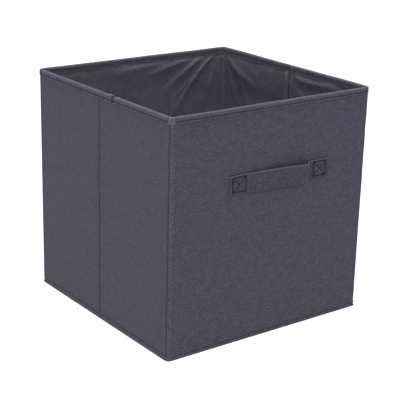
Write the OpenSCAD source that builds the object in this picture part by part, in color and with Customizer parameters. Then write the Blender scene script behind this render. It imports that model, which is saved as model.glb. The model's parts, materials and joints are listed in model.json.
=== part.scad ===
// Folding fabric storage bin: chipboard walls in a sewn fabric cover, one strap handle on the front.
// Millimetres, +Z up. The origin is the centre of the underside. The front, with the handle, faces -Y.
// The side walls fold inwards at their middle, so that the front wall comes back against the back wall.

/* [Overall size] */
// Width over the side covers
bin_w = 280; // [220:5:400]
// Depth over the front and back covers
bin_d = 276; // [220:5:400]
// Height from the floor to the top of the rim
bin_h = 272; // [200:5:400]

/* [Wall layers] */
// Thickness of a wall board
board_t = 2.2; // [1.4:0.1:4]
// Thickness of the outer cover fabric
cover_t = 0.8; // [0.4:0.1:1.4]
// Thickness of the liner fabric
liner_t = 0.8; // [0.4:0.1:1.4]
// How far a wall board stops short of the end of its pocket
board_inset = 1; // [0.2:0.1:3]

/* [Rim] */
// Thickness of the binding tape
binding_t = 0.5; // [0.3:0.1:1]
// Height of the binding band
binding_h = 6.5; // [5:0.5:15]
// Depth of the rim seam below the top edge
rim_seam_drop = 5; // [3:0.25:5]
// Length of the overlap where the binding tape ends meet
overlap_len = 10; // [5:1:20]
// Distance of that overlap in front of the middle fold
overlap_y = 28.5; // [15:0.5:60]

/* [Folds] */
// Width of the soft strip between the two boards of a side wall
fold_gap = 4; // [3.6:0.2:8]
// Gap between the panels where two walls meet
corner_gap = 0.3; // [0.2:0.1:1]

/* [Bottom] */
// Thickness of the bottom fabric
bottom_t = 0.8; // [0.4:0.1:1.4]
// Thickness of the bottom hem, sewn through all its layers
hem_t = 1.6; // [1:0.1:3]
// Thickness of the loose base board
base_board_t = 2.2; // [1.4:0.1:4]
// Thickness of the fabric wrapped round the base board
base_cover_t = 0.5; // [0.3:0.1:1]
// Room on each side between the base board and the rim that it passes
base_room = 1.5; // [0.5:0.5:5]

/* [Handle] */
// Width of the strap
strap_w = 24; // [16:1:40]
// Thickness of the strap, folded from four layers
strap_t = 1.6; // [1:0.1:3]
// Length of the strap on the wall, over both sewn ends
strap_len = 142; // [110:1:180]
// Distance of the middle of the strap to the right of the bin's middle
strap_x = 8; // [-20:1:20]
// Distance of the strap's middle line below the rim
strap_drop = 86; // [50:1:130]
// Length of a sewn strap end
strap_end_len = 23; // [19:0.5:30]
// How far the loose strap stands off the wall at its highest
strap_bow = 8; // [6:0.5:20]
// Side of a sewn square
sewn_square = 18.5; // [10:0.5:19]

/* [Thread] */
// Thickness of the sewing thread
thread_d = 0.6; // [0.3:0.1:1]
// How far the thread stands proud of the fabric
thread_proud = 0.2; // [0.1:0.05:0.3]

/* [Hidden] */

// A wall is a cover, a board and a liner.
wall_t = cover_t + board_t + liner_t;
// A panel stops here, measured from the corner of the plan, so that the walls can fold.
panel_end = wall_t + binding_t + corner_gap;

// Heights, from the floor up. The walls start just above the base board, so that they fold over it.
lay_gap = 0.3;
base_z0 = bottom_t + lay_gap;
base_z1 = base_z0 + base_board_t + 2 * base_cover_t;
wall_z0 = base_z1 + 2 * lay_gap + 0.1;
hem_z1 = wall_z0 - lay_gap;

// Reach of the panels along their wall, from the wall's middle
half_w = bin_w / 2 - panel_end;
half_d = bin_d / 2 - panel_end;
full_span = [-half_w, half_w];
near_span = [fold_gap / 2, half_d];
far_span = [-half_d, -fold_gap / 2];

// The handle, seen from the front: its two ends and the loose stretch between them
strap_x0 = strap_x - strap_len / 2;
strap_x1 = strap_x + strap_len / 2;
loose_x0 = strap_x0 + strap_end_len + corner_gap;
loose_x1 = strap_x1 - strap_end_len - corner_gap;
strap_z = bin_h - strap_drop;

cover_grey = [0.31, 0.30, 0.34];
liner_grey = [0.24, 0.24, 0.26];
binding_grey = [0.34, 0.33, 0.37];
thread_grey = [0.20, 0.20, 0.22];
board_brown = [0.55, 0.47, 0.36];

// ---- Placing ----

// Takes a wall drawn along X, with its outer face at y = 0 and its inside at +y, to its side of the bin.
module on_front() { translate([0, -bin_d / 2, 0]) children(); }
module on_back() { translate([0, bin_d / 2, 0]) rotate([0, 0, 180]) children(); }
module on_left() { translate([-bin_w / 2, 0, 0]) rotate([0, 0, -90]) children(); }
module on_right() { translate([bin_w / 2, 0, 0]) rotate([0, 0, 90]) children(); }

// A flat layer of a wall over a span, between two depths and two heights
module layer(span, depth0, depth1, z0, z1) {
    translate([span[0], depth0, z0])
        cube([span[1] - span[0], depth1 - depth0, z1 - z0]);
}

// ---- Wall layers ----

module cover(span) {
    color(cover_grey)
        layer(span, 0, cover_t, wall_z0, bin_h - binding_t);
}

module board(span) {
    inset_span = [span[0] + board_inset, span[1] - board_inset];
    color(board_brown)
        layer(inset_span, cover_t, cover_t + board_t, wall_z0 + board_inset, bin_h - binding_t);
}

module liner(span) {
    color(liner_grey)
        layer(span, cover_t + board_t, wall_t, wall_z0, bin_h - binding_t);
}

// The tape is folded over the top edge of the wall.
module binding(span) {
    color(binding_grey)
        difference() {
            layer(span, -binding_t, wall_t + binding_t, bin_h - binding_h, bin_h);
            layer([span[0] - 1, span[1] + 1], 0, wall_t, bin_h - binding_h - 1, bin_h - binding_t);
        }
}

// One seam holds the tape: its thread shows as a line on each side of the wall.
module rim_thread(span) {
    z = bin_h - rim_seam_drop;
    color(thread_grey) {
        layer(span, -binding_t - thread_proud, -binding_t, z - thread_d / 2, z + thread_d / 2);
        layer(span, wall_t + binding_t, wall_t + binding_t + thread_proud, z - thread_d / 2, z + thread_d / 2);
    }
}

module board_back() { on_back() board(full_span); }
module board_front() { on_front() board(full_span); }
module board_left_rear() { on_left() board(far_span); }
module board_left_front() { on_left() board(near_span); }
module board_right_rear() { on_right() board(near_span); }
module board_right_front() { on_right() board(far_span); }

module cover_back() { on_back() cover(full_span); }
module cover_front() { on_front() cover(full_span); }
module cover_left_rear() { on_left() cover(far_span); }
module cover_left_front() { on_left() cover(near_span); }
module cover_right_rear() { on_right() cover(near_span); }
module cover_right_front() { on_right() cover(far_span); }

module liner_back() { on_back() liner(full_span); }
module liner_front() { on_front() liner(full_span); }
module liner_left_rear() { on_left() liner(far_span); }
module liner_left_front() { on_left() liner(near_span); }
module liner_right_rear() { on_right() liner(near_span); }
module liner_right_front() { on_right() liner(far_span); }

module binding_back() { on_back() binding(full_span); }
module binding_front() { on_front() binding(full_span); }
module binding_left_rear() { on_left() binding(far_span); }
module binding_left_front() { on_left() binding(near_span); }
module binding_right_rear() { on_right() binding(near_span); }
module binding_right_front() { on_right() binding(far_span); }

module rim_thread_back() { on_back() rim_thread(full_span); }
module rim_thread_front() { on_front() rim_thread(full_span); }
module rim_thread_left_rear() { on_left() rim_thread(far_span); }
// The thread stops at both sides of the overlap, which is sewn over it.
module rim_thread_left_front() {
    on_left() {
        rim_thread([near_span[0], overlap_y - overlap_len / 2]);
        rim_thread([overlap_y + overlap_len / 2, near_span[1]]);
    }
}
module rim_thread_right_rear() { on_right() rim_thread(near_span); }
module rim_thread_right_front() { on_right() rim_thread(far_span); }

// The tape's last end is turned under and laid over its first end.
module binding_overlap() {
    out = 2 * binding_t;
    span = [overlap_y - overlap_len / 2, overlap_y + overlap_len / 2];
    color(binding_grey)
        on_left()
            difference() {
                layer(span, -out, wall_t + out, bin_h - binding_h, bin_h + binding_t);
                layer([span[0] - 1, span[1] + 1], -binding_t, wall_t + binding_t, bin_h - binding_h - 1, bin_h);
            }
}

// ---- Corners and folds ----

// Fabric bridging the cut corner, sewn to the front or back cover and free of the side board
module corner_strip() {
    across = cover_t * sqrt(2);
    color(cover_grey)
        translate([0, 0, wall_z0])
            linear_extrude(height = bin_h - wall_z0)
                polygon([
                    [corner_gap, panel_end - corner_gap],
                    [panel_end, 0],
                    [panel_end, across],
                    [corner_gap + across, panel_end - corner_gap]
                ]);
}

module corner_strip_front_left() { translate([-bin_w / 2, -bin_d / 2, 0]) corner_strip(); }
module corner_strip_front_right() { mirror([1, 0, 0]) corner_strip_front_left(); }
module corner_strip_back_left() { mirror([0, 1, 0]) corner_strip_front_left(); }
module corner_strip_back_right() { mirror([1, 0, 0]) corner_strip_back_left(); }

// Cover fabric pressed into the groove between the two boards of a side wall
module fold_strip() {
    color(cover_grey)
        layer([-fold_gap / 2, fold_gap / 2 - corner_gap], cover_t, 2 * cover_t, wall_z0, bin_h - binding_t);
}

module fold_strip_left() { on_left() fold_strip(); }
module fold_strip_right() { mirror([1, 0, 0]) fold_strip_left(); }

// ---- Bottom ----

// The bin's plan with its cut corners, drawn in from the outside by a distance
module plan(inset) {
    x = bin_w / 2 - inset;
    y = bin_d / 2 - inset;
    c = panel_end - inset * (2 - sqrt(2));
    polygon([
        [-x + c, -y], [x - c, -y], [x, -y + c], [x, y - c],
        [x - c, y], [-x + c, y], [-x, y - c], [-x, -y + c]
    ]);
}

// A band that follows the plan, between two insets and two heights
module plan_band(outer, inner, z0, z1) {
    difference() {
        translate([0, 0, z0])
            linear_extrude(height = z1 - z0)
                plan(outer);
        translate([0, 0, z0 - 1])
            linear_extrude(height = z1 - z0 + 2)
                plan(inner);
    }
}

module bottom_fabric() {
    color(cover_grey)
        linear_extrude(height = bottom_t)
            plan(hem_t);
}

module bottom_hem() {
    color(cover_grey)
        plan_band(0, hem_t, 0, hem_z1);
}

module hem_thread() {
    color(thread_grey)
        plan_band(-thread_proud, 0, hem_z1 - 2 * thread_d, hem_z1 - thread_d);
}

// The base board lies loose in the bin and is small enough to pass the bound rim.
base_half_w = bin_w / 2 - wall_t - binding_t - base_room;
base_half_d = bin_d / 2 - wall_t - binding_t - base_room;

module base_block(inset) {
    translate([-base_half_w + inset, -base_half_d + inset, base_z0 + inset])
        cube([
            2 * (base_half_w - inset),
            2 * (base_half_d - inset),
            base_z1 - base_z0 - 2 * inset
        ]);
}

module board_base() {
    color(board_brown)
        base_block(base_cover_t);
}

module base_cover() {
    color(liner_grey)
        difference() {
            base_block(0);
            base_block(base_cover_t);
        }
}

// ---- Handle ----

// Share of the full bow at a share of the loose length: flat at the left, highest near the right end
bow_start = 0.35;
bow_peak = 0.79;
function bow(u) =
    u < bow_start ? 0 :
    u < bow_peak ? pow(sin(90 * (u - bow_start) / (bow_peak - bow_start)), 2) :
    pow(cos(90 * (u - bow_peak) / (1 - bow_peak)), 2);

bow_steps = 28;
function loose_x(u) = loose_x0 + u * (loose_x1 - loose_x0);
function loose_y(u) = -lay_gap - 0.1 - strap_bow * bow(u);

module handle_strap() {
    shares = [for (i = [0 : bow_steps]) i / bow_steps];
    back = [for (u = shares) [loose_x(u), loose_y(u)]];
    face = [for (i = [bow_steps : -1 : 0]) [loose_x(shares[i]), loose_y(shares[i]) - strap_t]];
    color(binding_grey)
        translate([0, -bin_d / 2, strap_z - strap_w / 2])
            linear_extrude(height = strap_w)
                polygon(concat(back, face));
}

module handle_end(x0) {
    color(binding_grey)
        on_front()
            layer([x0, x0 + strap_end_len], -strap_t, 0, strap_z - strap_w / 2, strap_z + strap_w / 2);
}

module handle_end_left() { handle_end(strap_x0); }
module handle_end_right() { handle_end(strap_x1 - strap_end_len); }

// A sewn square with both diagonals, flat on the strap end
module sewn_box(x) {
    half = sewn_square / 2;
    slant = sewn_square * sqrt(2) - thread_d;
    color(thread_grey)
        on_front()
            translate([x, -strap_t - thread_proud, strap_z]) {
                for (s = [-1, 1]) {
                    translate([-half, 0, s * (half - thread_d / 2) - thread_d / 2])
                        cube([sewn_square, thread_proud, thread_d]);
                    translate([s * (half - thread_d / 2) - thread_d / 2, 0, -half])
                        cube([thread_d, thread_proud, sewn_square]);
                    rotate([0, 45 * s, 0])
                        translate([-slant / 2, 0, -thread_d / 2])
                            cube([slant, thread_proud, thread_d]);
                }
            }
}

module handle_thread_left() { sewn_box(strap_x0 + strap_end_len - sewn_square / 2 - 0.2); }
module handle_thread_right() { sewn_box(strap_x1 - strap_end_len + sewn_square / 2 + 0.2); }

board_back();
board_front();
board_left_rear();
board_left_front();
board_right_rear();
board_right_front();
board_base();
cover_back();
cover_front();
cover_left_rear();
cover_left_front();
cover_right_rear();
cover_right_front();
liner_back();
liner_front();
liner_left_rear();
liner_left_front();
liner_right_rear();
liner_right_front();
binding_back();
binding_front();
binding_left_rear();
binding_left_front();
binding_right_rear();
binding_right_front();
binding_overlap();
rim_thread_back();
rim_thread_front();
rim_thread_left_rear();
rim_thread_left_front();
rim_thread_right_rear();
rim_thread_right_front();
corner_strip_back_left();
corner_strip_back_right();
corner_strip_front_left();
corner_strip_front_right();
fold_strip_left();
fold_strip_right();
bottom_fabric();
bottom_hem();
hem_thread();
base_cover();
handle_strap();
handle_end_left();
handle_end_right();
handle_thread_left();
handle_thread_right();
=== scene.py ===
import json
import math

import bpy
from mathutils import Matrix, Vector, noise


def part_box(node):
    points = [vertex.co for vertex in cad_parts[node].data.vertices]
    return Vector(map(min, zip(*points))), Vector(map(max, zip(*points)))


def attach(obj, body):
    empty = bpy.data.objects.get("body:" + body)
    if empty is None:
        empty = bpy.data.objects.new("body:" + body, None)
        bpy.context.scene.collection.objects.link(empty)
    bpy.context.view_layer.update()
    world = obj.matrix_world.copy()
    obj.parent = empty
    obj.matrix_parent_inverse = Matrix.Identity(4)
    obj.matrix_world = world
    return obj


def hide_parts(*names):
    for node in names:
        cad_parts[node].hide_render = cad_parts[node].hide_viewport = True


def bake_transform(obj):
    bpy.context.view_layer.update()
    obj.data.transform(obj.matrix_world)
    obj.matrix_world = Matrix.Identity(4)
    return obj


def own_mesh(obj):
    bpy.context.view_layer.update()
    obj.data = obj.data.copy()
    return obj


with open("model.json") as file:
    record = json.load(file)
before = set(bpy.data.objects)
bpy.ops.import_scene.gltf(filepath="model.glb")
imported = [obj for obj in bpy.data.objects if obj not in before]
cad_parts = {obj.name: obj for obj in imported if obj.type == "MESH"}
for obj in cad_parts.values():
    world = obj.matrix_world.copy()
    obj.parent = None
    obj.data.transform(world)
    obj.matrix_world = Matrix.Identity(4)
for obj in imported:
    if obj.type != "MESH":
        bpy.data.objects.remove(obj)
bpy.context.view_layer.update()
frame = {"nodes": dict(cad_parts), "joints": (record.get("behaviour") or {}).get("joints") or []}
bpy.ops.object.select_all(action="DESELECT")


# ---- Wall boards ----
# Six panels of pressed chipboard stiffen the walls, and a seventh is the core of the loose base board. They
# are die-cut and slipped in between the cover and the liner, so they show only when the bin is cut open.

class Value:
    """A number or colour that a material's node gives, so that its maths reads as plain arithmetic."""

    def __init__(self, paint, output):
        self.paint = paint
        self.output = output

    def __add__(self, other):
        return self.paint.maths("ADD", self, other)

    def __sub__(self, other):
        return self.paint.maths("SUBTRACT", self, other)

    def __rsub__(self, other):
        return self.paint.maths("SUBTRACT", other, self)

    def __mul__(self, other):
        return self.paint.maths("MULTIPLY", self, other)

    __radd__ = __add__
    __rmul__ = __mul__


class Paint:
    """A material with one Principled shader. Constants are set on the shader's own sockets."""

    def __init__(self, name, **constants):
        self.material = bpy.data.materials.new(name)
        self.material.use_nodes = True
        self.tree = self.material.node_tree
        self.shader = self.tree.nodes["Principled BSDF"]
        for socket, value in constants.items():
            self.shader.inputs[socket.replace("_", " ")].default_value = value

    def feed(self, socket, value):
        if isinstance(value, Value):
            self.tree.links.new(value.output, socket)
        else:
            socket.default_value = value

    def node(self, kind, settings, sockets, output=0):
        made = self.tree.nodes.new(kind)
        for setting, value in settings.items():
            setattr(made, setting, value)
        for socket, value in sockets.items():
            self.feed(made.inputs[socket], value)
        return Value(self, made.outputs[output])

    def maths(self, operation, *values):
        return self.node("ShaderNodeMath", {"operation": operation}, dict(enumerate(values)))

    def spots(self, place, scale, detail=3.0, roughness=0.55):
        sockets = {"Vector": place, "Scale": scale, "Detail": detail, "Roughness": roughness}
        return self.node("ShaderNodeTexNoise", {}, sockets)

    def stretched(self, place, turn, scale):
        sockets = {"Vector": place, "Rotation": (0, 0, turn), "Scale": scale}
        return self.node("ShaderNodeMapping", {}, sockets)

    def ease(self, value, low, high, start=0.0, end=1.0):
        settings = {"interpolation_type": "SMOOTHSTEP"}
        return self.node("ShaderNodeMapRange", settings, {0: value, 1: low, 2: high, 3: start, 4: end})

    def mix(self, share, first, second):
        """Mixes two colours, each one a node's colour or a plain red, green and blue."""
        first, second = (c if isinstance(c, Value) else (*c, 1) for c in (first, second))
        return self.node("ShaderNodeMix", {"data_type": "RGBA"}, {0: share, 6: first, 7: second}, 2)

    def finish(self, colour, roughness, height, relief):
        bump = self.node("ShaderNodeBump", {}, {"Height": height, "Distance": relief, "Strength": 1.0})
        self.feed(self.shader.inputs["Base Color"], colour)
        self.feed(self.shader.inputs["Roughness"], roughness)
        self.feed(self.shader.inputs["Normal"], bump)
        return self.material


def chipboard():
    paint = Paint("chipboard", Specular_IOR_Level=0.25)
    place = paint.node("ShaderNodeTexCoord", {}, {}, "Object")
    pulp = paint.spots(place, 60, 6)
    flecks = paint.ease(paint.spots(place, 900, 2), 0.62, 0.72)
    colour = paint.mix(pulp, (0.20, 0.15, 0.10), (0.36, 0.28, 0.19))
    colour = paint.mix(flecks * 0.5, colour, (0.10, 0.08, 0.06))
    return paint.finish(colour, pulp * 0.15 + 0.78, paint.spots(place, 1500, 3) + flecks, 0.0001)


board_material = chipboard()
for node_name, board in frame["nodes"].items():
    if node_name.startswith("board_"):
        board.data.materials.clear()
        board.data.materials.append(board_material)


# ---- Bottom fabric ----
# One layer of the cover's spunbond fabric closes the underside. It is cut to the plan of the bin,
# lies flat on the floor and is sewn to the walls in the bottom hem.

mm = 0.001
half_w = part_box("bottom_hem")[1].x / mm
half_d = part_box("bottom_hem")[1].y / mm
corner_cut = half_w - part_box("cover_front")[1].x / mm
hem_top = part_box("bottom_hem")[1].z / mm
hem_t = 0.8


def nonwoven(name, dark, light, dots=0.5, relief=0.00016, pitch=0.0021, dot_rim=0.30, crease=None, painted_highlight_at=None):
    """Spunbond fabric: tangled fibres pressed together in a lattice of small diamond dots.

    Along a crease, at that place across the roll, the colour is darkened: painted shade of the groove there.
    Along an edge at that place up the roll, the colour is lightened: a painted highlight of light catching
    that edge.
    """
    paint = Paint(name, Specular_IOR_Level=0.15, Sheen_Weight=0.04, Sheen_Roughness=0.6)
    place = paint.node("ShaderNodeUVMap", {}, {}, "UV")
    parts = {axis: paint.node("ShaderNodeSeparateXYZ", {}, {0: place}, axis) for axis in "XY"}
    turns = 2 * math.pi / pitch
    rows = paint.maths("COSINE", (parts["X"] + parts["Y"]) * turns)
    columns = paint.maths("COSINE", (parts["X"] - parts["Y"]) * turns)
    dot = paint.ease((rows + columns) * 0.5, dot_rim, dot_rim + 0.50)
    clouds = paint.spots(place, 120, 4, 0.6)
    blotches = paint.spots(place, 640, 3, 0.65)
    along = paint.spots(paint.stretched(place, 0.5, (2600, 500, 1)), 1, 3)
    across = paint.spots(paint.stretched(place, -0.7, (2400, 450, 1)), 1, 3)
    fibres = (along + across) * 0.5
    tone = paint.ease(clouds * 0.14 + blotches * 0.56 + fibres * 0.3, 0.41, 0.60)
    colour = paint.mix(tone, dark, light)
    colour = paint.mix(dot * dots, colour, [0.45 * c for c in dark])
    if crease:
        # Painted shade: darkens the colour along the crease, standing in for the shadow in its groove.
        aside = paint.maths("ABSOLUTE", parts["X"] - crease)
        colour = paint.mix(paint.ease(aside, 0.0006, 0.0015, 0.78, 0), colour, (0.006, 0.006, 0.008))
    if painted_highlight_at:
        # Painted highlight: lightens the colour along that edge, standing in for light that catches it.
        aside = paint.maths("ABSOLUTE", parts["Y"] - painted_highlight_at)
        colour = paint.mix(paint.ease(aside, 0.0009, 0.0019, 0.45, 0), colour, [1.9 * c for c in light])
    height = fibres * 0.8 + blotches * 0.5 + clouds * 0.4 - dot * 0.7
    return paint.finish(colour, 0.86 - dot * 0.22 + fibres * 0.08, height, relief)


def cloth(name, width, height, cell, start):
    """A flat piece of cloth round the origin, in millimetres. Its UVs are its place on the roll in metres."""
    along, across = cell if isinstance(cell, tuple) else (cell, cell)
    cells = {"x_subdivisions": max(1, round(width / along)), "y_subdivisions": max(1, round(height / across))}
    bpy.ops.mesh.primitive_grid_add(size=1, **cells)
    piece = bpy.context.object
    piece.name = name
    piece.data.name = name
    piece.scale = (width, height, 1)
    bpy.ops.object.transform_apply(location=False, rotation=False, scale=True)
    mesh = piece.data
    spots = mesh.uv_layers.active.data
    for loop in mesh.loops:
        co = mesh.vertices[loop.vertex_index].co
        spots[loop.index].uv = (start[0] + co.x * mm, start[1] + co.y * mm)
    return piece


def cut_lines(axis, places):
    """In edit mode: adds lines of vertices across the piece at these places along an axis, so it can bend."""
    normal = Vector([letter == axis for letter in "xyz"])
    for at in places:
        bpy.ops.mesh.select_all(action="SELECT")
        bpy.ops.mesh.bisect(plane_co=normal * at, plane_no=normal)


def bend_lines(piece, axis, places):
    """Cuts such lines across a flat piece, where it bends sharply."""
    bpy.ops.object.mode_set(mode="EDIT")
    cut_lines(axis, places)
    bpy.ops.object.mode_set(mode="OBJECT")


def both_ways(places):
    """The same distances to the left and to the right of a piece's middle."""
    return [way * at for at in places for way in (-1, 1)]


def mould(piece, shape):
    """Moves each point of a flat piece to its place on the bin: shape takes its two flat coordinates."""
    for vertex in piece.data.vertices:
        vertex.co = shape(vertex.co.x, vertex.co.y)
    piece.data.update()


def use(piece, kind, **settings):
    """Adds a modifier and applies it."""
    bpy.context.view_layer.objects.active = piece
    modifier = piece.modifiers.new(kind.lower(), kind)
    for setting, value in settings.items():
        setattr(modifier, setting, value)
    bpy.ops.object.modifier_apply(modifier=modifier.name)


def finish_cloth(piece, thickness, material, angle=50):
    """Gives cloth its thickness, behind the side that shows, and its material."""
    if thickness:
        use(piece, "SOLIDIFY", thickness=thickness * mm, offset=-1)
    piece.data.materials.clear()
    piece.data.materials.append(material)
    bpy.ops.object.select_all(action="DESELECT")
    piece.select_set(True)
    bpy.context.view_layer.objects.active = piece
    bpy.ops.object.shade_smooth_by_angle(angle=math.radians(angle))
    piece.select_set(False)
    return piece


def wave(x, y, size, height, seed=0.0):
    """Soft unevenness of a fabric: size is how far apart its swells are."""
    return height * noise.noise(Vector((x / size, y / size, seed)))


cover_fabric = nonwoven("cover_fabric", (0.029, 0.027, 0.042), (0.075, 0.070, 0.101))
bottom_half_w = half_w - hem_t + 0.2
bottom_half_d = half_d - hem_t + 0.2


def lie_flat(x, y):
    """The fabric is clipped a little at its corners and lies unevenly on the floor."""
    over = max(0, abs(x) / bottom_half_w + abs(y) / bottom_half_d - 2 + 0.016)
    x -= math.copysign(over * bottom_half_w * 0.5, x)
    y -= math.copysign(over * bottom_half_d * 0.5, y)
    return Vector((x * mm, y * mm, (0.05 + abs(wave(x, y, 60, 0.35))) * mm))


bottom = cloth("bottom_fabric_sheet", 2 * bottom_half_w, 2 * bottom_half_d, 6, (0, 0))
mould(bottom, lie_flat)
# Its thickness goes upwards, so that its underside stays on the floor.
use(bottom, "SOLIDIFY", thickness=0.6 * mm, offset=1)
finish_cloth(bottom, 0, cover_fabric)


# ---- Bottom hem ----
# Where the walls meet the bottom, both fabrics are turned in and sewn in a raised hem all the way round.
# It stands proud at the front left corner, where its two ends lap, and is drawn in at the other corners.

corner_bulk = 0.5
corner_pull = -3.5 * corner_bulk
seam_share = 0.86


def hem_rise(x, y):
    """How far the hem's upper edge wanders above its own height: least along the front wall."""
    if y < 0.2 - half_d + corner_cut:
        return wave(x, 0, 30, 0.4, 5)
    return 2.3 + wave(x, y, 26, 1.8, 7)


def hem_ring():
    bpy.ops.mesh.primitive_cube_add(size=1, location=(0, 0, hem_top / 2))
    ring = bpy.context.object
    ring.name = "bottom_hem_ring"
    ring.data.name = ring.name
    ring.scale = (2 * half_w, 2 * half_d, hem_top)
    bpy.ops.object.transform_apply(location=True, rotation=False, scale=True)
    bpy.ops.object.mode_set(mode="EDIT")
    bpy.ops.mesh.select_mode(type="FACE")
    bpy.ops.mesh.select_all(action="DESELECT")
    bpy.ops.object.mode_set(mode="OBJECT")
    for face in ring.data.polygons:
        face.select = abs(face.normal.z) > 0.9
    bpy.ops.object.mode_set(mode="EDIT")
    bpy.ops.mesh.delete(type="FACE")
    bpy.ops.mesh.select_mode(type="EDGE")
    bpy.ops.mesh.select_all(action="DESELECT")
    bpy.ops.object.mode_set(mode="OBJECT")
    for edge in ring.data.edges:
        ends = [ring.data.vertices[i].co for i in edge.vertices]
        edge.select = abs(ends[0].z - ends[1].z) > 1
    bpy.ops.object.mode_set(mode="EDIT")
    bpy.ops.mesh.bevel(offset=corner_cut * 1.1, segments=7)
    cut_lines("x", range(-132, 133, 6))
    cut_lines("y", range(-132, 133, 6))
    cut_lines("z", [hem_top * share for share in (0.18, 0.5, 0.72, 0.82, 0.92)])
    bpy.ops.mesh.select_all(action="SELECT")
    bpy.ops.uv.cube_project(cube_size=1000)
    bpy.ops.object.mode_set(mode="OBJECT")
    return ring


def hem_bulge(co):
    """The hem is round in section and nipped in at its seam. Its corners are full or drawn in."""
    up = co.z / hem_top
    roll = 0.95 * math.sin(math.pi * min(1, 0.16 + up * 0.98)) - 0.35
    nip = -0.12 * math.exp(-((up - seam_share) / 0.09) ** 2)
    near = math.exp(-(((half_w - abs(co.x)) ** 2 + (half_d - abs(co.y)) ** 2) / 60))
    near *= corner_bulk if co.x < 0 and co.y < 0 else corner_pull
    out = roll + nip + near * math.sin(math.pi * min(1, up / 0.9)) + wave(co.x + co.y, co.z, 9, 0.2)
    away = Vector((co.x if half_w - abs(co.x) < corner_cut * 1.2 else 0,
                   co.y if half_d - abs(co.y) < corner_cut * 1.2 else 0, 0)).normalized()
    return co + away * out + Vector((0, 0, up * hem_rise(co.x, co.y)))


hem = hem_ring()
for vertex in hem.data.vertices:
    vertex.co = hem_bulge(vertex.co) * mm
hem.data.update()
finish_cloth(hem, hem_t, cover_fabric)


# ---- Hem seam ----
# A lockstitch in charcoal thread runs all round, just under the hem's upper edge.
# The stitches on the outside are about three millimetres long.

stitch_pitch = 3.2


def sewing_thread():
    paint = Paint("sewing_thread", Specular_IOR_Level=0.1)
    place = paint.node("ShaderNodeTexCoord", {}, {}, "Object")
    twist = paint.spots(place, 2400, 2)
    colour = paint.mix(twist, (0.007, 0.007, 0.009), (0.020, 0.019, 0.025))
    return paint.finish(colour, twist * 0.2 + 0.55, twist, 0.00008)


thread_material = sewing_thread()


def one_stitch(name, length, width):
    """A stitch along X: a short thread that dips into the cloth at both ends."""
    bpy.ops.mesh.primitive_uv_sphere_add(segments=8, ring_count=6, radius=0.5, rotation=(0, math.pi / 2, 0))
    stitch = bpy.context.object
    stitch.name = name
    stitch.data.name = name
    stitch.scale = (width, width, length)
    bpy.ops.object.transform_apply(location=False, rotation=True, scale=True)
    return stitch


def stitch_row(name, start, end, width, pitch=stitch_pitch):
    """A row of stitches from one point to another, in millimetres."""
    start, end = Vector(start), Vector(end)
    way = end - start
    count = max(1, round(way.length / pitch))
    row = one_stitch(name, 0.9 * way.length / count, width)
    if count > 1:
        use(row, "ARRAY", count=count, use_relative_offset=False, use_constant_offset=True,
            constant_offset_displace=(way.length / count, 0, 0))
    turn = Vector((1, 0, 0)).rotation_difference(way.normalized()).to_matrix().to_4x4()
    first = Matrix.Translation(Vector((way.length / count / 2, 0, 0)))
    row.data.transform(Matrix.Translation(start) @ turn @ first)
    return row


def sew(name, rows):
    """Joins rows of stitches to one piece of thread, in metres."""
    bpy.ops.object.select_all(action="DESELECT")
    for row in rows:
        row.select_set(True)
    bpy.context.view_layer.objects.active = rows[0]
    if len(rows) > 1:
        bpy.ops.object.join()
    piece = rows[0]
    piece.data.transform(Matrix.Scale(mm, 4))
    piece.name = name
    piece.data.name = name
    return finish_cloth(piece, 0, thread_material, 80)


seam_x = half_w - 0.45
seam_y = half_d - 0.45
seam_z = hem_top * seam_share
turn_in = corner_cut + 0.6
ROUND_THE_BIN = ((-1, -1), (-1, 1), (1, 1), (1, -1))
side_ends = [(sx * seam_x, sy * (seam_y - turn_in), seam_z) for sx, sy in ROUND_THE_BIN]
wall_ends = [(sx * (seam_x - turn_in), sy * seam_y, seam_z) for sx, sy in ROUND_THE_BIN]
hem_rows = []
for i in range(4):
    hem_rows.append(stitch_row("hem_row", side_ends[i], wall_ends[i], 0.5, 3))
    ends = side_ends if i % 2 == 0 else wall_ends
    hem_rows.append(stitch_row("hem_row", ends[i], ends[(i + 1) % 4], 0.5))
hem_thread = sew("hem_stitches", hem_rows)
for vertex in hem_thread.data.vertices:
    vertex.co.z += seam_share * hem_rise(vertex.co.x / mm, vertex.co.y / mm) * mm

# When the bin folds flat its bottom crumples towards the back wall. Here the bottom, its hem and its stitches
# only ride on the back wall; the depth of the folded walls is worked out but not used.
JOINTS = {joint["name"]: joint for joint in frame["joints"]}
fold_angle = math.radians(JOINTS["fold"]["range_deg"][1])
back_hinge, middle_hinge = (JOINTS[name]["pos_m"] for name in ("fold", "left_middle"))
reach = abs(back_hinge[1] - middle_hinge[1])
offset = abs(back_hinge[0] - middle_hinge[0])
between_hinges = 2 * (reach * math.cos(fold_angle) + offset * math.sin(fold_angle))
folded_depth = between_hinges + 2 * (half_d * mm - back_hinge[1])
bottom_keep = folded_depth / (2 * half_d * mm)
for piece, node, slot in ((bottom, "bottom_fabric", "cover"), (hem, "bottom_hem", "cover"),
                          (hem_thread, "hem_thread", "thread")):
    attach(piece, "back")
    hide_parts(node)
    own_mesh(piece)


# ---- Base board cover ----
# The loose base board is wrapped in thin liner fabric. Its edges are turned under and glued in a band
# round the underside, so that the smooth side faces the things in the bin.

liner_fabric = nonwoven("liner_fabric", (0.047, 0.045, 0.062), (0.089, 0.085, 0.113), 0.4, 0.00012)
wrap_low, wrap_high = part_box("base_cover")
wrap_size = (wrap_high - wrap_low) / mm
turned_under = 28


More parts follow.
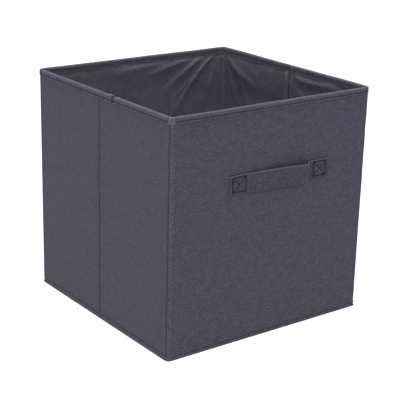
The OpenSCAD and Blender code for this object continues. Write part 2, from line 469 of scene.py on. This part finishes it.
def base_wrap():
    bpy.ops.mesh.primitive_cube_add(size=1)
    wrap = bpy.context.object
    wrap.name = "base_board_wrap"
    wrap.data.name = wrap.name
    wrap.scale = wrap_size
    wrap.location.z = (wrap_low.z + wrap_high.z) / 2 / mm
    bpy.ops.object.transform_apply(location=True, rotation=False, scale=True)
    for face in wrap.data.polygons:
        face.select = face.normal.z < -0.9
    bpy.ops.object.mode_set(mode="EDIT")
    bpy.ops.mesh.select_mode(type="FACE")
    bpy.ops.mesh.inset(thickness=turned_under)
    bpy.ops.transform.translate(value=(0, 0, 0.3))
    cut_lines("x", range(-120, 121, 12))
    cut_lines("y", range(-120, 121, 12))
    bpy.ops.object.mode_set(mode="OBJECT")
    use(wrap, "BEVEL", width=0.9, segments=3, limit_method="ANGLE", angle_limit=math.radians(60))
    bpy.ops.object.mode_set(mode="EDIT")
    bpy.ops.mesh.select_all(action="SELECT")
    bpy.ops.uv.cube_project(cube_size=1000)
    bpy.ops.object.mode_set(mode="OBJECT")
    return wrap


wrap = base_wrap()
for vertex in wrap.data.vertices:
    vertex.co *= mm
finish_cloth(wrap, 0, liner_fabric, 40)
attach(wrap, "base_insert")
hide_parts("base_cover")


# ---- Outer cover ----
# Four panels of charcoal spunbond fabric are drawn over the boards. A side panel is one piece over two
# boards, pressed into the groove between them, and each panel's ends turn round its board's edge.

rim_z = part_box("binding_front")[1].z / mm
wall_t = (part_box("liner_front")[1].y + half_d * mm) / mm
edge_round = 0.9
edge_lip = 1.6
groove_depth = 1.0
groove_half = 1.2
side_roll = 2.0
# Painted shade: the side panels' colour is darkened along the groove of the middle fold.
side_fabric = nonwoven("cover_side_fabric", (0.035, 0.033, 0.049), (0.068, 0.063, 0.092), crease=side_roll)
# Half the length of each wall, and how far out it stands. Two of them fold.
SIDES = {"front": (half_w, half_d), "left": (half_d, half_w),
         "back": (half_w, half_d), "right": (half_d, half_w)}
FOLDING = ("left", "right")


def on_wall(side, along, depth, up):
    """A point of a wall, in metres: along runs to the right as seen from outside, depth runs inwards."""
    out = SIDES[side][1] - depth
    x, y = {"front": (along, -out), "back": (-along, out),
            "left": (-out, -along), "right": (out, along)}[side]
    return Vector((x * mm, y * mm, up * mm))


def groove(side, along):
    """Depth of the fabric near the middle fold of a side wall, with a soft ridge on its front side."""
    front = along if side == "left" else -along
    hollow = groove_depth * math.exp(-(along / groove_half) ** 4)
    ridge = 0.6 * math.exp(-((front - 2.4) / 1.2) ** 2)
    dish = 0.25 * math.exp(-((front + 3.5) / 2.5) ** 2)
    return hollow - ridge + dish


def cover_panel(side, start):
    end = SIDES[side][0] - corner_cut
    foot, top = hem_top + 0.3, rim_z - 0.9
    piece = cloth(f"cover_{side}_panel", 2 * (end + edge_lip), top - foot, 5, start)
    bend_lines(piece, "x", both_ways([end + step for step in (-3, -1.4, -0.9, -0.4, 0, 0.5)]))
    if side in FOLDING:
        bend_lines(piece, "x", both_ways((0.25, 0.5, 0.8, 1.2, 1.7, 2.6, 3.6)) + [0])
    middle = (top + foot) / 2

    def shape(x, y):
        spot = on_wall(side, x, 0, 0) / mm
        y += (top - middle - y) / (top - foot) * hem_rise(spot.x, spot.y)
        over = abs(x) - (end - edge_round)
        depth = wave(x, y, 70, 0.45, start[0]) + wave(x, y, 22, 0.12, start[0]) - 0.1
        depth *= min(1, max(0, (end - abs(x)) / 12))
        if side in FOLDING:
            depth += groove(side, x)
        depth -= 0.45 * math.exp(-((end - abs(x) - 2) / 1.2) ** 2)
        if abs(x) > end:
            depth += edge_round + abs(x) - end
            x = math.copysign(end, x)
        elif over > 0:
            depth += edge_round - math.sqrt(max(0, edge_round ** 2 - over ** 2))
        return on_wall(side, x, depth, middle + y)

    mould(piece, shape)
    return finish_cloth(piece, 0.7, side_fabric if side in FOLDING else cover_fabric, 60)


def wall_nodes(kind, side):
    """The CAD nodes of one kind on a wall: a side wall has one on each side of its fold."""
    if side in FOLDING:
        return [f"{kind}_{side}_{half}" for half in ("rear", "front")]
    return [f"{kind}_{side}"]


def follow_wall(piece, side):
    """On the front or back wall the piece is attached to its wall; on a side wall it is only baked in place.
    """
    if side in FOLDING:
        x = -half_w * mm if side == "left" else half_w * mm
        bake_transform(piece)
    else:
        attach(piece, side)


for i, side in enumerate(SIDES):
    piece = cover_panel(side, (side_roll if side in FOLDING else 1.0 + i, 0.3 * i))
    flat = (2 * (SIDES[side][0] - corner_cut + edge_lip) * mm, (rim_z - hem_top) * mm)
    fold_strips = [f"fold_strip_{side}"] if side in FOLDING else []
    follow_wall(piece, side)
    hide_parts(*wall_nodes("cover", side), *fold_strips)
    wall_nodes("board", side)


# ---- Corner strips ----
# At each corner the cover is bare fabric with no board behind it: a soft strip across the cut corner,
# which is the hinge of the fold. It is creased and pressed in along the side wall's board.

strip_dip = 2.7
strip_roll = 6.0
# The crease's place across the strip, as a share of its width from the side wall.
strip_crease = 0.08
# The strip's colour is paler, with a bright lattice round its bond dots: painted reflection of light on the
# bond pattern, over the fabric's own dots. Along its crease it is darkened: painted shade of the groove.
strip_fabric = nonwoven("corner_fabric", (0.040, 0.036, 0.055), (0.104, 0.097, 0.138), 1.0, 0.0003, 0.0030,
                        dot_rim=0.0, crease=strip_roll)


def corner_point(corner, share, depth, up):
    """A point on the cut corner: share runs from the side wall (0) to the front or back wall (1)."""
    sx, sy = corner
    inward = depth / math.sqrt(2)
    x = half_w - corner_cut * share - inward
    y = half_d - corner_cut * (1 - share) - inward
    return Vector((sx * x * mm, sy * y * mm, up * mm))


def corner_strip(name, corner, start):
    foot, top = hem_top + 0.15, rim_z - 0.9
    width = corner_cut * math.sqrt(2)
    outward = corner[0] * corner[1]
    middle_roll = strip_roll + outward * (0.5 - strip_crease) * width * mm
    piece = cloth(name, width, top - foot, (0.36, 5), (middle_roll, start))

    def shape(x, y):
        share = 0.5 + outward * x / width
        dip = strip_dip * math.exp(-((share - strip_crease) / 0.12) ** 2)
        dip += 0.5 * math.exp(-((1 - share) / 0.08) ** 2)
        depth = dip - 0.25 * math.sin(math.pi * share) + wave(y, share * 3, 16, 0.25, start)
        return corner_point(corner, share, depth + 0.15, (top + foot) / 2 + y)

    mould(piece, shape)
    return finish_cloth(piece, 0.7, strip_fabric, 60)


CORNERS = {"front_left": (-1, -1), "front_right": (1, -1), "back_left": (-1, 1), "back_right": (1, 1)}
# The two walls that the joint at a corner holds together.
JOINED = {"front_left": ("left_front", "front"), "back_left": ("left_rear", "back"),
          "back_right": ("right_rear", "back")}


def span_corner(piece, corner_name):
    """At a corner with a joint the piece is only baked in place. The front right has no joint, so it follows
    the front.
    """
    corner = CORNERS[corner_name]
    if corner_name in JOINED:
        ends = [corner_point(corner, share, 0, 0) for share in (0, 1)]
        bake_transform(piece)
    else:
        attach(piece, "front")


for i, (corner_name, corner) in enumerate(CORNERS.items()):
    strip = corner_strip(f"corner_{corner_name}_strip", corner, 0.5 * i)
    span_corner(strip, corner_name)
    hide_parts(f"corner_strip_{corner_name}")


# ---- Liner ----
# A loose bag of thinner fabric lines the walls. It is sewn in only at the rim and the bottom, so it creases:
# it is pulled towards the back right corner, and long soft folds run out from there.

tape_drop = (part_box("binding_front")[1].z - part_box("binding_front")[0].z) / mm
inner_drop = tape_drop + 2.1
liner_top = rim_z - 4
liner_foot = hem_top + 0.4
fold_ridge = 3.0
corner_seam = 6.8
corner_radius = 8.0
# Two panels meet half way round the corner, this far from either wall.
corner_meet = corner_radius * (1 - math.sqrt(0.5))


def clear_fold(along, depth):
    """By the fold of a side wall all cloth stays shallow, so that its two halves can meet as they fold."""
    return min(depth, 2.25 + 3.5 * along ** 2)


class Crease:
    """A long crease, thin at its first point, bent at its second and fading out wide at its third."""

    steps = 24

    def __init__(self, start, bend, end, height, width):
        a, b, c = Vector(start), Vector(bend), Vector(end)
        shares = [i / self.steps for i in range(self.steps + 1)]
        self.spots = [a * (1 - k) ** 2 + b * 2 * k * (1 - k) + c * k ** 2 for k in shares]
        self.height = height
        self.width = width
        self.way = (c - a).normalized()

    def rise(self, along, up):
        """How high the crease stands at a place. It is steep on its upper side and runs out gently below."""
        here = Vector((along, up))
        gaps = [(spot - here).length_squared for spot in self.spots]
        nearest = min(range(len(gaps)), key=gaps.__getitem__)
        gap = math.sqrt(gaps[nearest])
        if gap > 6 * self.width:
            return 0.0
        run = nearest / self.steps
        aside = self.spots[nearest] - here
        above = (self.way.x * aside.y - self.way.y * aside.x) * (1 if self.way.x < 0 else -1) > 0
        spread = self.width * (0.35 + 0.9 * run) * (0.8 if above else 2.6)
        strength = math.sin(math.pi * min(1, 0.12 + 0.88 * run)) ** 0.7
        return self.height * strength * math.exp(-(gap / spread) ** 1.5)


# Each crease is its start, its bend and its end on the wall, as seen from inside, then its height and width.
CREASES = {
    "back": [
        Crease((124, 268), (92, 252), (58, 197), 3.0, 2.1),
        Crease((106, 268), (74, 252), (36, 222), 2.6, 3.2),
        Crease((98, 270), (58, 258), (8, 247), 2.2, 3.2),
        Crease((84, 238), (68, 225), (54, 210), 1.0, 2.2),
        Crease((72, 269), (10, 264), (-50, 250), 1.2, 4.5),
        Crease((129, 262), (112, 238), (104, 190), 0.8, 4.0),
        Crease((-132, 262), (-100, 235), (-80, 180), 2.2, 7.0),
        Crease((50, 190), (30, 120), (20, 40), 2.0, 12.0),
        Crease((96, 180), (104, 120), (110, 50), 2.0, 8.0),
    ],
    "right": [
        Crease((-131, 268), (-112, 247), (-60, 234), 2.0, 3.0),
        Crease((-128, 258), (-114, 236), (-102, 200), 1.2, 3.2),
        Crease((-96, 236), (-70, 200), (-56, 140), 1.4, 7.0),
        Crease((12, 262), (36, 254), (92, 263), 2.4, 3.0),
        Crease((20, 244), (46, 224), (60, 170), 1.8, 7.0),
        Crease((128, 260), (104, 240), (84, 190), 1.8, 7.0),
    ],
    "left": [
        Crease((130, 266), (104, 246), (84, 200), 2.6, 7.0),
        Crease((-128, 262), (-96, 240), (-80, 180), 2.4, 7.0),
        Crease((20, 262), (50, 230), (60, 150), 2.0, 9.0),
    ],
    "front": [
        Crease((-130, 266), (-96, 244), (-70, 190), 2.8, 7.0),
        Crease((130, 264), (100, 240), (80, 180), 2.6, 7.0),
        Crease((-20, 240), (10, 180), (16, 90), 2.0, 12.0),
    ],
}


def liner_panel(side, start):
    end = SIDES[side][0] - wall_t + 0.2
    middle = (liner_top + liner_foot) / 2
    cell = 1.75 if side == "back" else 2.6
    piece = cloth(f"liner_{side}_panel", 2 * end, liner_top - liner_foot, cell, start)
    if side in FOLDING:
        bend_lines(piece, "x", both_ways((0.25, 0.5, 0.75, 1, 1.5, 2, 2.8, 3.6, 4.4, 5.2, 6)) + [0])
    if side == "back":
        bend_lines(piece, "x", [end - corner_seam + k * 0.35 for k in range(-4, 5)])

    def shape(x, y):
        # Seen from inside, x runs to the right, so it runs against the wall's own direction.
        # The bag is a little smaller than the walls' inside, and its corners are round.
        up = middle + y
        to_corner = end - abs(x)
        if to_corner < corner_radius:
            to_corner = corner_meet + to_corner * (1 - corner_meet / corner_radius)
        rounding = corner_radius - math.sqrt(max(0, corner_radius ** 2 - (corner_radius - to_corner) ** 2))
        rounding *= to_corner < corner_radius
        loose = min(1, (end - abs(x)) / 18) * min(1, (liner_top - up) / 10) * min(1, (up - liner_foot) / 16)
        slack = 0.9 + wave(x, up, 45, 1.8, start[0]) + wave(x, up, 15, 0.45, start[0])
        height = max(0, slack) * loose
        below_tape = min(1, max(0, (rim_z - inner_drop + 1 - up) / 5))
        below_corner = min(1, max(0, (rim_z - inner_drop + 2 - up) / 5))
        height += sum(crease.rise(x, up) for crease in CREASES[side]) * below_tape
        height *= min(1, (end - abs(x)) / 4)
        if side in FOLDING:
            height *= 1 - 0.85 * math.exp(-(x / 5) ** 2)
            rear = x if side == "left" else -x
            height += fold_ridge * math.exp(-abs((rear - 4.4) / 2.2) ** 1.5) * below_tape
            height += 0.3 * fold_ridge * math.exp(-abs((rear + 4.2) / 2.0) ** 1.5) * below_tape
        if side == "back":
            # The bag is closed by one raised seam, beside the back right corner.
            height += 1.7 * math.exp(-(((end - x) - corner_seam) / 0.7) ** 2) * below_tape
        along = math.copysign(end - to_corner, x)
        depth = wall_t + 0.05 + height + rounding * below_corner
        return on_wall(side, -along, clear_fold(x, depth) if side in FOLDING else depth, up)

    mould(piece, shape)
    return finish_cloth(piece, 0.5, liner_fabric, 70)


for i, side in enumerate(SIDES):
    piece = liner_panel(side, (12.0 + i, 0.2 * i))
    flat = (2 * (SIDES[side][0] - wall_t) * mm, (liner_top - liner_foot) * mm)
    follow_wall(piece, side)
    if side not in FOLDING:
        on_wall(side, 0, wall_t, 0)
        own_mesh(piece)
    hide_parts(*wall_nodes("liner", side))


# ---- Rim binding ----
# The top edge of every wall is bound with a folded tape of the cover's fabric. It hugs the edge in a soft
# round, is nipped in along its seam and flares a little at its outer lip.

TAPE_CLOTH = {"dark": (0.028, 0.026, 0.040), "light": (0.078, 0.073, 0.104), "dots": 0.4, "relief": 0.00014}
tape_fabric = nonwoven("binding_fabric", **TAPE_CLOTH)
seam_drop = rim_z - (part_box("rim_thread_front")[0].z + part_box("rim_thread_front")[1].z) / 2 / mm
tape_swell = 1.0
lip = 1.5
# The tape's section, as depth and height from the rim, with each half measured from its own side of the
# wall. It is sewn on a little off centre: its inner half is wider.
OUTER_LIP = [(-lip, -tape_drop - 0.5), (-lip, -tape_drop + 0.1), (-1.05, -seam_drop - 0.75),
             (0.0, -seam_drop)]
OVER_EDGE = [(-0.65, -seam_drop + 0.6), (-1.0, -3.6), (-tape_swell, -2.2), (-0.8, -1.0), (-0.2, -0.1),
             (0.8, 0.15)]
INNER_EDGE = [(0.8, 0.15), (-0.1, -0.1), (-0.5, -1.0), (-0.65, -2.2), (-0.65, -3.6),
              (-0.6, -seam_drop + 0.6)]
INNER_LIP = [(-0.55, -seam_drop), (-0.6, -seam_drop - 1.0), (-0.7, -inner_drop + 1), (-0.8, -inner_drop)]
INNER_HALF = [(wall_t - depth, height) for depth, height in INNER_EDGE + INNER_LIP]
TAPE = OUTER_LIP + OVER_EDGE + [(wall_t / 2, 0.2)] + INNER_HALF
TAPE_LENGTHS = [0.0]
for (d0, h0), (d1, h1) in zip(TAPE, TAPE[1:]):
    TAPE_LENGTHS.append(TAPE_LENGTHS[-1] + math.hypot(d1 - d0, h1 - h0))
tape_width = TAPE_LENGTHS[-1]
TAPE_BENDS = [length - tape_width / 2 for length in TAPE_LENGTHS[1:-1]]


def tape_section(across):
    """Depth and height at a distance across the tape, from its outer lip."""
    across = min(max(across, 0), tape_width)
    i = max(k for k in range(len(TAPE) - 1) if TAPE_LENGTHS[k] <= across + 1e-6)
    share = (across - TAPE_LENGTHS[i]) / (TAPE_LENGTHS[i + 1] - TAPE_LENGTHS[i])
    return [a + (b - a) * share for a, b in zip(TAPE[i], TAPE[i + 1])]


def binding_tape(side, start):
    end = SIDES[side][0] - corner_cut
    piece = cloth(f"binding_{side}_tape", 2 * end, tape_width, 3, start)
    bend_lines(piece, "y", TAPE_BENDS)
    if side in FOLDING:
        bend_lines(piece, "x", both_ways((0.5, 1, 1.6, 2.4)) + [0])

    def shape(x, y):
        depth, height = tape_section(y + tape_width / 2)
        swell = wave(x, y, 11, 0.22, start[0]) + wave(x, 0, 40, 0.25, start[0])
        out = (depth - wall_t / 2) / (wall_t / 2 + tape_swell)
        calm = min(1, (end - abs(x)) / 8)
        depth += out * swell * calm
        height += wave(x, 0, 60, 0.35, start[0] + 3) * calm
        if depth < 0:
            depth *= 0.35 + 0.65 * calm
        if depth < wall_t / 2 and height > -seam_drop:
            # Its outer half draws in at both ends, towards the turn at the corner.
            depth += 0.5 * max(0, 1 - (end - abs(x)) / 6) ** 2
        if side in FOLDING:
            depth = clear_fold(x, depth)
            height -= (0.9 if side == "right" else 0.3) * math.exp(-(x / 1.5) ** 2) * (height > -1)
        return on_wall(side, x, depth, rim_z + height)

    mould(piece, shape)
    return finish_cloth(piece, 0.45, tape_fabric, 80)


for i, side in enumerate(SIDES):
    piece = binding_tape(side, (18.0 + i, 0.0))
    flat = (2 * (SIDES[side][0] - corner_cut) * mm, tape_width * mm)
    follow_wall(piece, side)
    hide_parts(*wall_nodes("binding", side))

# The tape goes round each corner in one soft turn, coloured paler with a bright lattice round its bond dots: a
# painted highlight where the round turn catches the light. Its inner half has nearly no way to go there, and
# is tucked away.
turn_length = corner_cut * 1.5
tucked_length = 1.2
# Painted highlight: the corner turn's fabric is paler and brighter than the tape's.
patch_fabric = nonwoven("corner_patch", (0.052, 0.048, 0.072), (0.150, 0.142, 0.192), 1.0, 0.0003, 0.0030,
                        dot_rim=0.0)


def corner_tape(name, corner_name, start):
    sx, sy = CORNERS[corner_name]
    piece = cloth(name, turn_length, tape_width, (turn_length / 10, 3), start)
    bend_lines(piece, "y", TAPE_BENDS)

    def shape(x, y):
        share = 0.5 + sx * sy * x / turn_length
        depth, height = tape_section(y + tape_width / 2)
        depth = max(-0.45, min(depth, corner_cut - 0.15))
        side_end = Vector((half_w - depth, half_d - corner_cut))
        front_end = Vector((half_w - corner_cut, half_d - depth))
        spot = side_end * (1 - share) + front_end * share
        outer = max(0, 1 - (depth + tape_swell) / (wall_t + tape_swell))
        spot += Vector((1, 1)).normalized() * 0.3 * math.sin(math.pi * share) * outer
        return Vector((sx * spot.x * mm, sy * spot.y * mm, (rim_z + height) * mm))

    mould(piece, shape)
    return finish_cloth(piece, 0.45, patch_fabric, 80)


for i, corner_name in enumerate(CORNERS):
    piece = corner_tape(f"binding_{corner_name}_turn", corner_name, (23.0 + i, 0.0))
    span_corner(piece, corner_name)
    area = (turn_length + tucked_length) * tape_width / 2 * mm * mm


# ---- Lap of the binding ----
# The tape is one length sewn on round the whole rim. Its last end is cut on a slight slant and laps over
# its first end, on the left side just in front of the fold, as a second layer that starts with a step.
# Along its cut end the colour is darkened: painted shade of the step, whose end face is turned from the light.

lap_low, lap_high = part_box("binding_overlap")
lap_middle = -(lap_low.y + lap_high.y) / 2 / mm
lap_length = 15
lap_roll = 28.0
# Painted shade: the crease darkening falls just past the lap's cut end, along its step.
lap_fabric = nonwoven("lap_fabric", **TAPE_CLOTH, crease=lap_roll + (lap_length / 2 + 0.3) * mm)


def binding_lap():
    piece = cloth("binding_lap_end", lap_length, tape_width, 1.2, (lap_roll, 0.0))
    bend_lines(piece, "y", TAPE_BENDS)

    def shape(x, y):
        depth, height = tape_section(y + tape_width / 2)
        share = 0.5 + x / lap_length
        lift = 0.6 * min(1, share / 0.35) + 0.7 * max(0, share - 0.8) / 0.2
        out = (depth - wall_t / 2) / (wall_t / 2 + tape_swell)
        slant = 0.18 * (height + tape_drop) * share
        along = lap_middle + 0.6 - lap_length * (1 - share) + slant * 0.3
        return on_wall("left", along, depth + out * lift, rim_z + height + (lift if height > -1 else 0))

    mould(piece, shape)
    return finish_cloth(piece, 0.5, lap_fabric, 80)


lap = binding_lap()
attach(lap, "left_front")
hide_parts("binding_overlap")


# ---- Rim seam ----
# One lockstitch holds the tape, the cover and the liner together. It shows as a row of short charcoal
# stitches on both sides of every wall, sunk into the nip of the tape.

for side in SIDES:
    end = SIDES[side][0] - corner_cut - 0.6
    rows = []
    for depth, width in ((-0.25, 0.5), (wall_t + 0.5, 0.4)):
        ends = [on_wall(side, s * end, depth, rim_z - seam_drop) / mm for s in (-1, 1)]
        rows.append(stitch_row("rim_row", *ends, width))
    piece = sew(f"rim_{side}_stitches", rows)
    if side in FOLDING:
        for vertex in piece.data.vertices:
            depth = half_w - abs(vertex.co.x) / mm
            vertex.co.x = math.copysign((half_w - clear_fold(vertex.co.y / mm, depth)) * mm, vertex.co.x)
    follow_wall(piece, side)
    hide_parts(*wall_nodes("rim_thread", side))


# ---- Handle ----
# A flat strap folded from four layers of fabric. Its ends are sewn to the front wall, and the stretch
# between them has some slack, which stands off the wall towards the right end.

strap_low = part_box("handle_end_left")[0] / mm
strap_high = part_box("handle_end_right")[1] / mm
loose_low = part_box("handle_strap")[0] / mm
loose_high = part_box("handle_strap")[1] / mm
strap_w = loose_high.z - loose_low.z
strap_z = (loose_high.z + loose_low.z) / 2
strap_t = -half_d - strap_low.y
bow = 0.88 * (-half_d - loose_low.y - strap_t)
strap_left, strap_right = strap_low.x, strap_high.x
# Where the slack begins, stands furthest off and ends, as shares of the stretch between the seams.
bow_start, bow_peak, bow_end = 0.12, 0.86, 0.935


def strap_stand_off(x):
    """How far the strap's back stands off the wall: flat on the left, highest near the right end."""
    share = (x - loose_low.x) / (loose_high.x - loose_low.x)
    if share <= 0 or share >= 1:
        return 0.0
    first = 1.6 * math.sin(math.pi / 2 * min(1, share / 0.08)) ** 2
    if share < bow_start:
        return first
    if share < bow_peak:
        rise = math.sin(math.pi / 2 * (share - bow_start) / (bow_peak - bow_start)) ** 2
        return first + (bow - first) * rise
    back = min(1, (share - bow_peak) / (bow_end - bow_peak))
    return bow * (0.5 + 0.5 * math.cos(math.pi * back))


def handle_strap():
    length = strap_right - strap_left
    bpy.ops.mesh.primitive_cube_add(size=1)
    strap = bpy.context.object
    strap.name = "handle_strap_band"
    strap.data.name = strap.name
    strap.scale = (length, strap_t, strap_w)
    strap.location = (strap_left + length / 2, -strap_t / 2, strap_z)
    bpy.ops.object.transform_apply(location=True, rotation=False, scale=True)
    bpy.ops.object.mode_set(mode="EDIT")
    cut_lines("x", range(int(strap_left), int(strap_right) + 1))
    shares = (-0.47, -0.40, -0.3, -0.2, -0.1, 0, 0.1, 0.2, 0.3, 0.40, 0.47)
    cut_lines("z", [strap_z + share * strap_w for share in shares])
    bpy.ops.mesh.select_all(action="SELECT")
    bpy.ops.uv.cube_project(cube_size=1000)
    bpy.ops.object.mode_set(mode="OBJECT")
    use(strap, "BEVEL", width=0.55, segments=3, limit_method="ANGLE", angle_limit=math.radians(60))
    return strap


strap = handle_strap()
sewn_half = ((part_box("handle_thread_left")[1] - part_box("handle_thread_left")[0]) / mm).x / 2
sewn_middles = [sum(corner.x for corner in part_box(f"handle_thread_{k}")) / 2 / mm for k in ("left", "right")]


def strap_shape(co):
    """The band is sunk at its seams and rolled at its edges, and its slack hangs off the wall."""
    puff = 0.0
    for middle in sewn_middles:
        dx, dz = abs(co.x - middle), abs(co.z - strap_z)
        reach_out = max(dx, dz) / sewn_half
        if reach_out < 1.25:
            square = math.exp(-(max(dx, dz) - sewn_half) ** 2)
            cross = 0.6 * math.exp(-(dx - dz) ** 2) if reach_out < 1 else 0
            puff -= 0.75 * min(1, square + cross)
    across = (co.z - strap_z) / (strap_w / 2)
    above, below = (1 + across) / 2, (1 - across) / 2
    puff += 0.7 * math.exp(-((1 - abs(across)) / 0.10) ** 2)
    off = strap_stand_off(co.x) * (1 - 0.55 * below)
    slack = min(1, off / bow)
    cup = 0.7 * across ** 2 * min(1, off / 3)
    ripple = wave(co.x, co.z / 3, 7, 0.15 + 0.3 * slack)
    loose = min(1, max(0, (co.x - loose_low.x) / 8)) * min(1, max(0, (loose_high.x - 6 - co.x) / 8))
    run = (co.x - loose_low.x) / (loose_high.x - loose_low.x)
    lower_edge = 2.0 * (1 - loose) + loose * (0.9 - 2.0 * run)
    lift = lower_edge * below + 0.9 * loose * above * (1 - slack) - 0.25 * slack + wave(co.x, 0, 30, 0.4)
    y = -half_d + co.y - off + cup + puff * co.y / strap_t + ripple
    return Vector((co.x, y, co.z + lift))


for vertex in strap.data.vertices:
    vertex.co = strap_shape(vertex.co) * mm
strap.data.update()
# Its upper edge is coloured paler, a painted highlight of light catching that edge. Its middle lies half a
# metre up the roll.
strap_fabric = nonwoven("strap_fabric", (0.021, 0.019, 0.032), (0.068, 0.063, 0.092), 0.45, 0.00014,
                        painted_highlight_at=0.5 + strap_w / 2 * mm)
finish_cloth(strap, 0, strap_fabric, 70)
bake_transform(strap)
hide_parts("handle_strap", "handle_end_left", "handle_end_right")


# ---- Handle seams ----
# Each end of the strap is sewn down with a square and its two diagonals, in the same charcoal thread.

thread_y = -(half_d + strap_t - 0.45)
low_z, high_z = strap_z - sewn_half + 2.0, strap_z + sewn_half + 0.3
for k, middle in zip(("left", "right"), sewn_middles):
    low_x, high_x = middle - sewn_half + 0.3, middle + sewn_half - 0.3
    square = [(low_x, low_z), (high_x, low_z), (high_x, high_z), (low_x, high_z)]
    spots = [(x, thread_y, z) for x, z in square]
    rows = [stitch_row("square_row", spots[p], spots[q], 1.4, 2.6)
            for p, q in ((0, 1), (1, 2), (2, 3), (3, 0), (0, 2), (1, 3))]
    piece = sew(f"handle_{k}_stitches", rows)
    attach(piece, "front")
    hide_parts(f"handle_thread_{k}")


# ---- Floor, light and camera ----
# A plain white floor, soft studio light from above, the left and the front, and a low reflector on the
# left. The camera looks a little down into the bin, past its front left corner.

def studio_floor():
    paint = Paint("studio_floor", Specular_IOR_Level=0.0, Emission_Color=(1, 1, 1, 1), Emission_Strength=1.0)
    place = paint.node("ShaderNodeTexCoord", {}, {}, "Object")
    tone = paint.spots(place, 3, 2)
    colour = paint.mix(tone, (0.16, 0.16, 0.16), (0.18, 0.18, 0.18))
    return paint.finish(colour, tone * 0.05 + 0.8, tone, 0.0001)


bpy.ops.mesh.primitive_plane_add(size=12, location=(0, 0, -0.0002))
floor = bpy.context.object
floor.name = "studio_floor"
floor.data.materials.append(studio_floor())

world = bpy.data.worlds.new("studio")
world.use_nodes = True
world.node_tree.nodes["Background"].inputs["Color"].default_value = (1, 1, 1, 1)
world.node_tree.nodes["Background"].inputs["Strength"].default_value = 0.3
bpy.context.scene.world = world
bin_middle = Vector((0, 0, 0.14))


def soft_light(name, place, size, power):
    bpy.ops.object.light_add(type="AREA", location=place)
    light = bpy.context.object
    light.name = name
    light.data.shape = "DISK"
    light.data.size = size
    light.data.energy = power
    light.rotation_euler = (bin_middle - Vector(place)).to_track_quat("-Z", "Y").to_euler()


soft_light("overhead_softbox", (0.1, 0.1, 1.9), 1.0, 52)
soft_light("left_softbox", (-2.0, -0.30, 1.9), 0.9, 18)
soft_light("left_reflector", (-1.9, -0.45, 0.30), 0.7, 10)
soft_light("front_softbox", (-0.30, -2.0, 1.9), 0.9, 37)

camera_place = Vector((-0.78954, -1.05420, 0.56256))
yaw, pitch, roll = math.radians(36.917), math.radians(18.528), math.radians(1.462)
look = Vector((math.sin(yaw) * math.cos(pitch), math.cos(yaw) * math.cos(pitch), -math.sin(pitch)))
level = look.cross(Vector((0, 0, 1))).normalized()
upright = level.cross(look)
right = level * math.cos(roll) + upright * math.sin(roll)
up = upright * math.cos(roll) - level * math.sin(roll)
bpy.ops.object.camera_add(location=camera_place)
camera = bpy.context.object
camera.rotation_euler = Matrix((right, up, -look)).transposed().to_euler()
camera.data.sensor_width = 36
camera.data.lens = 103.36
bpy.context.scene.camera = camera
bpy.context.scene.view_settings.view_transform = "Standard"
